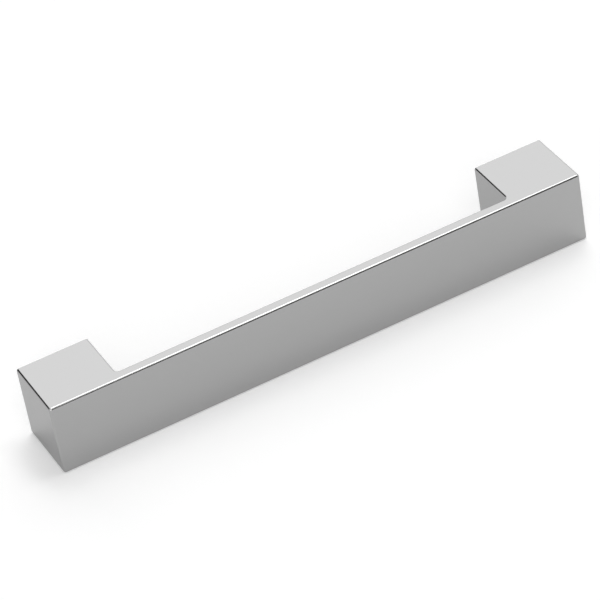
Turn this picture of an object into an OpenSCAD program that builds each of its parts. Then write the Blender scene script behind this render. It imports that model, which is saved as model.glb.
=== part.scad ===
// Square bridge handle for a cabinet door or drawer, cast in one piece.
// X runs along the bar, the feet stand on the plane y = 0 with the bar in front of it, and Z is up.
// The origin is midway between the two fixing holes, on the mounting plane. Sizes are in millimetres.

/* [Bar] */
// Distance between the centres of the two fixing holes
hole_spacing = 160; // [96:32:320]
// Height of the bar and the feet
handle_h = 25; // [20:0.5:32]
// Distance from the mounting plane to the front face
projection = 24; // [22:0.5:36]
// Thickness of the bar, and of the foot's wall behind the front face
bar_t = 4; // [3:0.1:5]

/* [Feet] */
// Width of a foot along the bar
foot_w = 24; // [20:0.5:32]
// Wall around a foot's pocket, where it meets the mounting plane
foot_wall = 2.2; // [1.8:0.1:3]
// Radius of the pocket's corners at its floor
pocket_r = 1; // [0.5:0.25:2]
// Lean of the pocket, boss and webs in mm for each mm of depth, which lets the casting leave its die
draft = 0.025; // [0.01:0.005:0.04]

/* [Edges] */
// Radius of the outer edges, and of the edges along the finger gap
edge_r = 0.8; // [0.4:0.1:1.5]
// Radius of the inside corners between the bar and the feet
corner_r = 1.5; // [1:0.25:4]

/* [Fixing holes] */
// Diameter of the boss at its end
boss_d = 8.5; // [7:0.25:10]
// Thickness of the webs that tie the boss to the walls, where they meet the mounting plane
web_t = 1.4; // [1:0.1:2]
// Diameter of the hole that the thread is cut in, 3.3 for M4
tap_d = 3.3; // [2.5:0.1:4.2]
// Depth of the hole, without its pointed end
tap_depth = 14; // [8:0.5:15]
// Width of the chamfer at the hole's mouth
tap_chamfer = 0.4; // [0.2:0.1:0.6]

/* [Hidden] */
$fn = 96;
// How far a cut runs on past the surface that it opens
over = 1;
// Full angle of the drill point at the end of a fixing hole
drill_point = 118;
handle_l = hole_spacing + foot_w;
gap_w = hole_spacing - foot_w;
pocket_depth = projection - bar_t;
// How far a drafted wall leans over a given depth
function lean(depth) = depth * draft;

// Rectangle with round corners, centred on the origin
module round_rectangle(w, h, r) {
    square([w - 2 * r, h], center = true);
    square([w, h - 2 * r], center = true);
    for (x = [-1, 1], y = [-1, 1])
        translate([x * (w / 2 - r), y * (h / 2 - r)])
            circle(r);
}

// The whole bar of metal that the gap is taken out of, with its front edges and corners rounded
module block() {
    shoulder = projection - edge_r;
    rotate([90, 0, 0])
        linear_extrude(height = shoulder)
            round_rectangle(handle_l, handle_h, edge_r);
    translate([0, -shoulder, 0]) {
        translate([0, -edge_r / 2, 0])
            cube([handle_l - 2 * edge_r, edge_r, handle_h - 2 * edge_r], center = true);
        for (z = [-1, 1])
            translate([0, 0, z * (handle_h / 2 - edge_r)])
                rotate([0, 90, 0])
                    cylinder(h = handle_l - 2 * edge_r, r = edge_r, center = true);
        for (x = [-1, 1])
            translate([x * (handle_l / 2 - edge_r), 0, 0]) {
                cylinder(h = handle_h - 2 * edge_r, r = edge_r, center = true);
                for (z = [-1, 1])
                    translate([0, 0, z * (handle_h / 2 - edge_r)])
                        sphere(edge_r);
            }
    }
}

// What a rounded edge takes off a square one: the wall is at x = 0 and the face that it meets at y = 0
module edge_profile() {
    difference() {
        translate([-over, -edge_r])
            square([over + edge_r, edge_r + over]);
        translate([edge_r, -edge_r])
            circle(edge_r);
    }
}

// Space behind the bar for the fingers, with round inside corners and rounded edges above and below
module finger_gap() {
    side = gap_w / 2 - corner_r;
    back = pocket_depth - corner_r;
    translate([0, 0, -handle_h / 2 - over])
        linear_extrude(height = handle_h + 2 * over) {
            translate([-gap_w / 2, -back])
                square([gap_w, back + over]);
            translate([-side, -pocket_depth])
                square([2 * side, pocket_depth + over]);
            for (x = [-1, 1])
                translate([x * side, -back])
                    circle(corner_r);
        }
    for (face = [0, 1])
        mirror([0, 0, face])
            translate([0, 0, handle_h / 2]) {
                // Along the bar
                translate([-side, -pocket_depth, 0])
                    rotate([90, 0, 90])
                        linear_extrude(height = 2 * side)
                            mirror([1, 0])
                                edge_profile();
                for (x = [0, 1])
                    mirror([x, 0, 0]) {
                        // Along the foot
                        translate([gap_w / 2, over, 0])
                            rotate([90, 0, 0])
                                linear_extrude(height = back + over)
                                    edge_profile();
                        // Round the inside corner
                        translate([side, -back, 0])
                            rotate([0, 0, -90])
                                rotate_extrude(angle = 90)
                                    translate([corner_r, 0])
                                        edge_profile();
                    }
            }
}

// Bar with a drafted section, w wide at y = 0, from y = top down to y = -depth and long on Z.
// It narrows on its way in where taper is 1, and widens where taper is -1.
module drafted_bar(w, top, depth, taper, long) {
    top_w = w / 2 + taper * lean(top);
    end_w = w / 2 - taper * lean(depth);
    translate([0, 0, -long / 2])
        linear_extrude(height = long)
            polygon([[-top_w, top], [top_w, top], [end_w, -depth], [-end_w, -depth]]);
}

// Hollow in the back of a foot, which keeps the casting's walls even
module pocket() {
    w = foot_w - 2 * foot_wall;
    h = handle_h - 2 * foot_wall;
    mouth_r = pocket_r + lean(pocket_depth);
    difference() {
        union() {
            drafted_bar(w, over, pocket_depth, 1, h - 2 * mouth_r);
            rotate([0, 90, 0])
                drafted_bar(h, over, pocket_depth, 1, w - 2 * mouth_r);
            for (x = [-1, 1], z = [-1, 1])
                translate([x * (w / 2 - mouth_r), over, z * (h / 2 - mouth_r)])
                    rotate([90, 0, 0])
                        cylinder(h = pocket_depth + over, r1 = mouth_r + lean(over), r2 = pocket_r);
        }
        boss();
        webs();
    }
}

// Round post that holds the thread, level with the mounting plane
module boss() {
    top = 2 * over;
    depth = pocket_depth + over;
    translate([0, top, 0])
        rotate([90, 0, 0])
            cylinder(h = top + depth, r1 = boss_d / 2 - lean(top), r2 = boss_d / 2 + lean(depth));
}

// Four thin walls between the boss and the sides of the pocket, level with the mounting plane too
module webs() {
    for (turn = [0, 90])
        rotate([0, turn, 0])
            drafted_bar(web_t, 2 * over, pocket_depth + over, -1, max(foot_w, handle_h));
}

// Blind hole for the screw that comes through the door, with its lead-in and its drill point
module fixing_hole() {
    r = tap_d / 2;
    tip = r / tan(drill_point / 2);
    rotate([-90, 0, 0])
        rotate_extrude()
            polygon([
                [0, -tap_depth - tip],
                [r, -tap_depth],
                [r, -tap_chamfer],
                [r + tap_chamfer + over, over],
                [0, over]
            ]);
}

// The one casting: a flat bar between two block-shaped feet
module handle() {
    color("silver")
        difference() {
            block();
            finger_gap();
            for (x = [-1, 1])
                translate([x * hole_spacing / 2, 0, 0]) {
                    pocket();
                    fixing_hole();
                }
        }
}

handle();
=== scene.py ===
import math

import bmesh
import bpy
from mathutils import Matrix, Vector


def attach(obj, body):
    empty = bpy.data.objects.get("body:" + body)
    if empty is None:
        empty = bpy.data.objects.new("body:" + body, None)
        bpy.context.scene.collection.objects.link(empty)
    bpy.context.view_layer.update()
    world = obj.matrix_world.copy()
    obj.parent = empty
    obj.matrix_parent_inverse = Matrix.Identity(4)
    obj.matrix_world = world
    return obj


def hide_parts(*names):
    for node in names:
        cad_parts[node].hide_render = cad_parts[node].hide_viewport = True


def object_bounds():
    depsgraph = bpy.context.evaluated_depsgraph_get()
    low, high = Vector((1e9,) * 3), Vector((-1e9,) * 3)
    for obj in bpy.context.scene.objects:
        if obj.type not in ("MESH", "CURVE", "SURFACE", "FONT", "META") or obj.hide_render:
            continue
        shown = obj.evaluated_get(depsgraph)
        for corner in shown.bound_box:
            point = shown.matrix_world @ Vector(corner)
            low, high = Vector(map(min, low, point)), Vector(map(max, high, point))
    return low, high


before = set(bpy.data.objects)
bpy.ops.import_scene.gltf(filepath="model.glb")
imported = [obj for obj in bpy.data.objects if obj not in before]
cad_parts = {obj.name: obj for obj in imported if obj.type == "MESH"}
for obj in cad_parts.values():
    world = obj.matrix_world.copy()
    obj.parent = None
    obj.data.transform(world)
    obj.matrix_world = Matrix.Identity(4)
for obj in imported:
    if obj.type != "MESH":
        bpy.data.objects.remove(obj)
cad_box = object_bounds()

# Handle: a square bridge handle for a cabinet door, one zinc die casting with two block-shaped feet.
# It is brushed with fine belts, plated with nickel and lacquered, then tapped for a screw in each foot.
# The casting's own solid gives its shape, and only the two threads are cut into a copy of its surface.
MM = 0.001


def linear(hex_colour):
    """The linear RGBA of an sRGB hex colour."""
    channels = [int(hex_colour[i:i + 2], 16) / 255 for i in (1, 3, 5)]
    return [c / 12.92 if c <= 0.04045 else ((c + 0.055) / 1.055) ** 2.4 for c in channels] + [1.0]


def add_node(tree, kind, settings, links=()):
    """Adds a node, gives it its settings by name or socket, and joins its sockets to others' outputs."""
    made = tree.nodes.new(kind)
    for name, value in settings.items():
        if isinstance(name, int) or name in made.inputs:
            made.inputs[name].default_value = value
        else:
            setattr(made, name, value)
    for socket, output in links:
        tree.links.new(output, made.inputs[socket])
    return made


def new_material(name):
    """An empty material and its node tree."""
    material = bpy.data.materials.new(name)
    material.use_nodes = True
    material.node_tree.nodes.clear()
    return material, material.node_tree


# Satin nickel: nickel plate over brushed zinc, under a clear lacquer that takes some of the light.
# The eye sees a soft, even grey sheen, with crisp lines only where an edge turns.
# The real scratches are about 0.1 mm wide, too fine to show, so they are drawn 0.35 mm wide.
SCRATCH_W = 0.35 * MM
SCRATCH_L = 14 * MM
SCRATCH_DEPTH = 0.0003 * MM
SCRATCH_ROUGHNESS = (0.13, 0.17)
CLOUD = 25 * MM
CLOUD_ROUGHNESS = 0.04
END_FACING = 0.7
NICKEL_GREY = "#A6A6A6"
GRAZING_GREY = "#E1E1E1"


def satin_nickel():
    """Brushed along the bar on its long faces, and up the end faces."""
    material, tree = new_material("satin_nickel_plate")
    place = add_node(tree, "ShaderNodeTexCoord", {})
    along = add_node(tree, "ShaderNodeMapping", {
        "Scale": (1 / SCRATCH_L, 1 / SCRATCH_W, 1 / SCRATCH_W),
    }, [("Vector", place.outputs["Object"])])
    upward = add_node(tree, "ShaderNodeMapping", {
        "Scale": (1 / SCRATCH_W, 1 / SCRATCH_W, 1 / SCRATCH_L),
    }, [("Vector", place.outputs["Object"])])
    facing = add_node(tree, "ShaderNodeSeparateXYZ", {}, [("Vector", place.outputs["Normal"])])
    size = add_node(tree, "ShaderNodeMath", {"operation": "ABSOLUTE"}, [(0, facing.outputs["X"])])
    is_end = add_node(tree, "ShaderNodeMath", {"operation": "GREATER_THAN", 1: END_FACING}, [
        (0, size.outputs["Value"]),
    ])
    brushing = add_node(tree, "ShaderNodeMix", {"data_type": "VECTOR"}, [
        (0, is_end.outputs["Value"]),
        (4, along.outputs["Vector"]),
        (5, upward.outputs["Vector"]),
    ])
    scratches = add_node(tree, "ShaderNodeTexNoise", {"Scale": 1.0, "Detail": 2.0}, [
        ("Vector", brushing.outputs[1]),
    ])
    clouds = add_node(tree, "ShaderNodeTexNoise", {"Scale": 1 / CLOUD, "Detail": 1.0}, [
        ("Vector", place.outputs["Object"]),
    ])
    fine = add_node(tree, "ShaderNodeMapRange", {
        "To Min": SCRATCH_ROUGHNESS[0], "To Max": SCRATCH_ROUGHNESS[1],
    }, [("Value", scratches.outputs["Fac"])])
    broad = add_node(tree, "ShaderNodeMath", {"operation": "MULTIPLY_ADD", 1: CLOUD_ROUGHNESS}, [
        (0, clouds.outputs["Fac"]),
        (2, fine.outputs["Result"]),
    ])
    grain = add_node(tree, "ShaderNodeBump", {"Distance": SCRATCH_DEPTH}, [
        ("Height", scratches.outputs["Fac"]),
    ])
    shader = add_node(tree, "ShaderNodeBsdfPrincipled", {
        "Base Color": linear(NICKEL_GREY), "Metallic": 1.0, "Specular Tint": linear(GRAZING_GREY),
    }, [("Roughness", broad.outputs["Value"]), ("Normal", grain.outputs["Normal"])])
    add_node(tree, "ShaderNodeOutputMaterial", {}, [("Surface", shader.outputs["BSDF"])])
    return material


# As-cast nickel: inside the feet the plate lies straight on the die-cast skin, without brushing or lacquer.
# The eye sees a lighter, duller grey, with the small pits that the die leaves.
PLAIN_NICKEL = "#C4C4C4"
PIT = 0.6 * MM
PIT_DEPTH = 0.01 * MM
PIT_ROUGHNESS = (0.38, 0.5)


def as_cast_nickel():
    """The die's own skin under the plate."""
    material, tree = new_material("as_cast_nickel_plate")
    place = add_node(tree, "ShaderNodeTexCoord", {})
    pits = add_node(tree, "ShaderNodeTexNoise", {"Scale": 1 / PIT, "Detail": 3.0}, [
        ("Vector", place.outputs["Object"]),
    ])
    skin = add_node(tree, "ShaderNodeBump", {"Distance": PIT_DEPTH}, [("Height", pits.outputs["Fac"])])
    dull = add_node(tree, "ShaderNodeMapRange", {
        "To Min": PIT_ROUGHNESS[0], "To Max": PIT_ROUGHNESS[1],
    }, [("Value", pits.outputs["Fac"])])
    shader = add_node(tree, "ShaderNodeBsdfPrincipled", {
        "Base Color": linear(PLAIN_NICKEL), "Metallic": 1.0,
    }, [("Roughness", dull.outputs["Result"]), ("Normal", skin.outputs["Normal"])])
    add_node(tree, "ShaderNodeOutputMaterial", {}, [("Surface", shader.outputs["BSDF"])])
    return material


# Cut zinc: the tap goes in last, so that the thread is bare, freshly cut metal.
# The eye sees a bright, slightly blue grey with fine marks round the hole from the tap.
BARE_ZINC = "#B9BCC0"
TAP_MARK = 0.08 * MM
TAP_MARK_ROUGHNESS = (0.2, 0.35)


def cut_zinc():
    """Bare zinc with the tap's marks, which run round and change along the hole's axis."""
    material, tree = new_material("cut_zinc")
    place = add_node(tree, "ShaderNodeTexCoord", {})
    depth = add_node(tree, "ShaderNodeMapping", {"Scale": (0.0, 1 / TAP_MARK, 0.0)}, [
        ("Vector", place.outputs["Object"]),
    ])
    marks = add_node(tree, "ShaderNodeTexNoise", {"Scale": 1.0}, [("Vector", depth.outputs["Vector"])])
    worn = add_node(tree, "ShaderNodeMapRange", {
        "To Min": TAP_MARK_ROUGHNESS[0], "To Max": TAP_MARK_ROUGHNESS[1],
    }, [("Value", marks.outputs["Fac"])])
    shader = add_node(tree, "ShaderNodeBsdfPrincipled", {
        "Base Color": linear(BARE_ZINC), "Metallic": 1.0,
    }, [("Roughness", worn.outputs["Result"])])
    add_node(tree, "ShaderNodeOutputMaterial", {}, [("Surface", shader.outputs["BSDF"])])
    return material


# Thread: M4, cut by a tap in the boss of each foot, from the lead-in down to the drill point.
# It deepens over its first turn, and fades over its last two, where the tap runs out.
HOLE_X = 80 * MM
TAP_R = 1.65 * MM
ROOT_R = 2.0 * MM
PITCH = 0.7 * MM
FLANK_ANGLE = math.radians(30)
FLANK = (ROOT_R - TAP_R) * math.tan(FLANK_ANGLE) / PITCH
ROOT_FLAT = 0.125
START_TURNS = 1
RUN_OUT_TURNS = 2
STEPS_A_TURN = 10
NEAR = 0.01 * MM
WELD = 0.001 * MM


def groove(turn):
    """How far the thread is cut at a share of a turn, from 0 at its crest to 1 at its root."""
    off = abs(turn % 1.0 - 0.5)
    return min(max((ROOT_FLAT / 2 + FLANK - off) / FLANK, 0.0), 1.0)


def cut_thread(casting, x):
    """Puts a threaded wall in place of the plain one of the hole at x."""
    def angle(vertex):
        return math.atan2(vertex.co.z, vertex.co.x - x)

    rims = {v for v in casting.verts if abs(math.hypot(v.co.x - x, v.co.z) - TAP_R) < NEAR}
    plain_wall = {f for v in rims for f in v.link_faces if rims.issuperset(f.verts)}
    bmesh.ops.delete(casting, geom=list(plain_wall), context="FACES_ONLY")
    middle = sum(v.co.y for v in rims) / len(rims)
    mouth = sorted((v for v in rims if v.co.y > middle), key=angle)
    bottom = sorted((v for v in rims if v.co.y < middle), key=angle)
    top_y, end_y = mouth[0].co.y, bottom[0].co.y
    steps = round((top_y - end_y) / PITCH * STEPS_A_TURN)
    rings = [mouth]
    for step in range(1, steps):
        y = top_y + (end_y - top_y) * step / steps
        fade = min((top_y - y) / (START_TURNS * PITCH), (y - end_y) / (RUN_OUT_TURNS * PITCH), 1.0)
        ring = []
        for rim in mouth:
            a = angle(rim)
            r = TAP_R + (ROOT_R - TAP_R) * fade * groove(y / PITCH + a / math.tau)
            ring.append(casting.verts.new((x + r * math.cos(a), y, r * math.sin(a))))
        rings.append(ring)
    rings.append(bottom)
    for upper, lower in zip(rings, rings[1:]):
        for i in range(len(upper)):
            casting.faces.new((upper[i - 1], upper[i], lower[i], lower[i - 1]))


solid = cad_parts["handle"]
casting = bmesh.new()
casting.from_mesh(solid.data)
bmesh.ops.remove_doubles(casting, verts=casting.verts, dist=WELD)
for x in (-HOLE_X, HOLE_X):
    cut_thread(casting, x)
bmesh.ops.recalc_face_normals(casting, faces=casting.faces)

# The finish of each face follows from where it lies: outside, inside a foot, or in the tapped hole.
OUTSIDE, INSIDE, TAPPED = 0, 1, 2
FOOT_HALF = 11 * MM
POCKET_FLOOR = -20.1 * MM
THREAD_REACH = 2.1 * MM
for face in casting.faces:
    at = face.calc_center_median()
    off_x = abs(abs(at.x) - HOLE_X)
    face.smooth = True
    face.material_index = OUTSIDE
    if off_x < FOOT_HALF and POCKET_FLOOR < at.y < -NEAR:
        if abs(at.z) < FOOT_HALF:
            face.material_index = TAPPED if math.hypot(off_x, at.z) < THREAD_REACH else INSIDE

# Faces that meet below this angle shade as one smooth surface, in which larger faces count first,
# so that the flat ones keep an even shade right up to their rounded edges.
SHARP_ANGLE = math.radians(25)
LARGE_FACES_FIRST = 100
shell = bpy.data.meshes.new("handle_casting")
casting.to_mesh(shell)
casting.free()
for finish in (satin_nickel(), as_cast_nickel(), cut_zinc()):
    shell.materials.append(finish)
shell.set_sharp_from_angle(angle=SHARP_ANGLE)
handle = bpy.data.objects.new("handle_casting", shell)
handle.matrix_world = solid.matrix_world
bpy.context.collection.objects.link(handle)
even = handle.modifiers.new("even_shading", "WEIGHTED_NORMAL")
even.keep_sharp = True
even.weight = LARGE_FACES_FIRST
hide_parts("handle")
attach(handle, "root")

# Floor: a wide sheet of white seamless paper, which the handle lies on with its long side.
# It glows a little for the camera and in mirror images only, so that it shows white as in the photograph,
# while the light on the handle stays plain and the handle's shadow is kept.
FLOOR_SIZE = 12.0
PAPER_WHITE = "#F5F5F5"
PAPER_ROUGHNESS = 0.9
GLOW = 0.17


def seen_or_mirrored(tree):
    """1 for rays from the camera, from shiny metal and through glass, and 0 for the light that is cast."""
    path = add_node(tree, "ShaderNodeLightPath", {})
    shiny = add_node(tree, "ShaderNodeMath", {"operation": "MAXIMUM"}, [
        (0, path.outputs["Is Glossy Ray"]),
        (1, path.outputs["Is Transmission Ray"]),
    ])
    seen = add_node(tree, "ShaderNodeMath", {"operation": "MAXIMUM"}, [
        (0, path.outputs["Is Camera Ray"]),
        (1, shiny.outputs["Value"]),
    ])
    return seen.outputs["Value"]


bpy.ops.mesh.primitive_plane_add(size=FLOOR_SIZE, location=(0, 0, cad_box[0].z))
floor = bpy.context.object
floor.name = "paper_floor"
paper = bpy.data.materials.new("white_seamless_paper")
paper.use_nodes = True
sheet = paper.node_tree.nodes["Principled BSDF"]
sheet.inputs["Base Color"].default_value = linear(PAPER_WHITE)
sheet.inputs["Roughness"].default_value = PAPER_ROUGHNESS
glow = add_node(paper.node_tree, "ShaderNodeMath", {"operation": "MULTIPLY", 1: GLOW}, [
    (0, seen_or_mirrored(paper.node_tree)),
])
sheet.inputs["Emission Color"].default_value = linear("#FFFFFF")
paper.node_tree.links.new(glow.outputs["Value"], sheet.inputs["Emission Strength"])
floor.data.materials.append(paper)

# Softboxes: white diffuser cloth on boom stands, all 3 m from the handle and turned to face it.
# The back one is what the top face mirrors, the top one draws the bright line along the front edge,
# and the other two light the paper in front of the handle.
LAMP_DISTANCE = 3.0


def direction(azimuth, elevation, distance):
    """A place seen from the handle at an azimuth from the back, over the right, and an elevation."""
    turn, lift = math.radians(azimuth), math.radians(elevation)
    level = distance * math.cos(lift)
    return Vector((level * math.sin(turn), level * math.cos(turn), distance * math.sin(lift)))


def facing_handle(location):
    """The matrix of a lamp or a flag at a place, turned to face the handle."""
    return Matrix.Translation(location) @ location.to_track_quat("Z", "Y").to_matrix().to_4x4()


def softbox(name, azimuth, elevation, width, height, radiance):
    """A plain white softbox that glows evenly over its whole front."""
    lamp = bpy.data.lights.new(name, "AREA")
    lamp.shape = "RECTANGLE"
    lamp.size = width
    lamp.size_y = height
    lamp.energy = radiance * math.pi * width * height
    made = bpy.data.objects.new(name, lamp)
    made.matrix_world = facing_handle(direction(azimuth, elevation, LAMP_DISTANCE))
    bpy.context.collection.objects.link(made)


softbox("top_softbox", 66, 71, 2.1, 0.8, 4.4)
softbox("back_softbox", 26, 35, 3.1, 2.7, 0.75)
softbox("front_softbox", 190, 38, 2.4, 2.0, 1.6)
softbox("left_softbox", 218, 14, 1.2, 0.9, 1.9)

# Flags: two frames of matt black cloth on stands, which no camera sees.
# They give the edges between the top face and the sides their thin dark lines.
FLAG_DISTANCE = 2.4
FLAG_CLOTH = "#1A1A1A"


def flag(name, azimuth, elevation, width, height):
    """A black flag that faces the handle and keeps the room's light off its edges."""
    bpy.ops.mesh.primitive_plane_add(size=1)
    made = bpy.context.object
    made.name = name
    place = facing_handle(direction(azimuth, elevation, FLAG_DISTANCE))
    made.matrix_world = place @ Matrix.Diagonal((width, height, 1, 1))
    made.visible_camera = False
    cloth = bpy.data.materials.new("black_flag_cloth")
    cloth.use_nodes = True
    cloth.node_tree.nodes["Principled BSDF"].inputs["Base Color"].default_value = linear(FLAG_CLOTH)
    made.data.materials.append(cloth)


flag("front_flag", 158, 26, 1.1, 2.0)
flag("back_left_flag", 326, 20, 1.75, 1.55)

# Room: the studio's white walls and ceiling, which give about half of the light.
# The camera and the metal see them white, as the photograph's background is.
ROOM_LIGHT = 0.53
world = bpy.data.worlds.new("studio")
world.use_nodes = True
walls = world.node_tree.nodes["Background"]
walls.inputs["Color"].default_value = linear("#FFFFFF")
white = add_node(world.node_tree, "ShaderNodeMath", {
    "operation": "MULTIPLY_ADD", 1: 1 - ROOM_LIGHT, 2: ROOM_LIGHT,
}, [(0, seen_or_mirrored(world.node_tree))])
world.node_tree.links.new(white.outputs["Value"], walls.inputs["Strength"])
bpy.context.scene.world = world

# Camera: in front of the handle, to its left and above, turned a little on its own axis.
# The angles, the distance and the long lens come from a fit to the handle's straight edges.
AZIMUTH, ELEVATION, ROLL = (math.radians(a) for a in (-21.554, 37.361, 10.490))
DISTANCE = 1.09746
ASIDE, BELOW = -0.002599, -0.000732
LENS = 214.218
SENSOR_WIDTH = 36.0
centre = (cad_box[0] + cad_box[1]) / 2
across = Vector((math.cos(AZIMUTH), math.sin(AZIMUTH), 0))
forward = Vector((
    -math.sin(AZIMUTH) * math.cos(ELEVATION),
    math.cos(AZIMUTH) * math.cos(ELEVATION),
    -math.sin(ELEVATION),
))
down = forward.cross(across)
right = math.cos(ROLL) * across + math.sin(ROLL) * down
below = math.cos(ROLL) * down - math.sin(ROLL) * across
place = centre - forward * DISTANCE + right * ASIDE + below * BELOW
data = bpy.data.cameras.new("camera")
data.lens = LENS
data.sensor_width = SENSOR_WIDTH
camera = bpy.data.objects.new("camera", data)
camera.matrix_world = Matrix.Translation(place) @ Matrix((right, -below, -forward)).transposed().to_4x4()
bpy.context.collection.objects.link(camera)
bpy.context.scene.camera = camera
bpy.context.scene.view_settings.view_transform = "Standard"
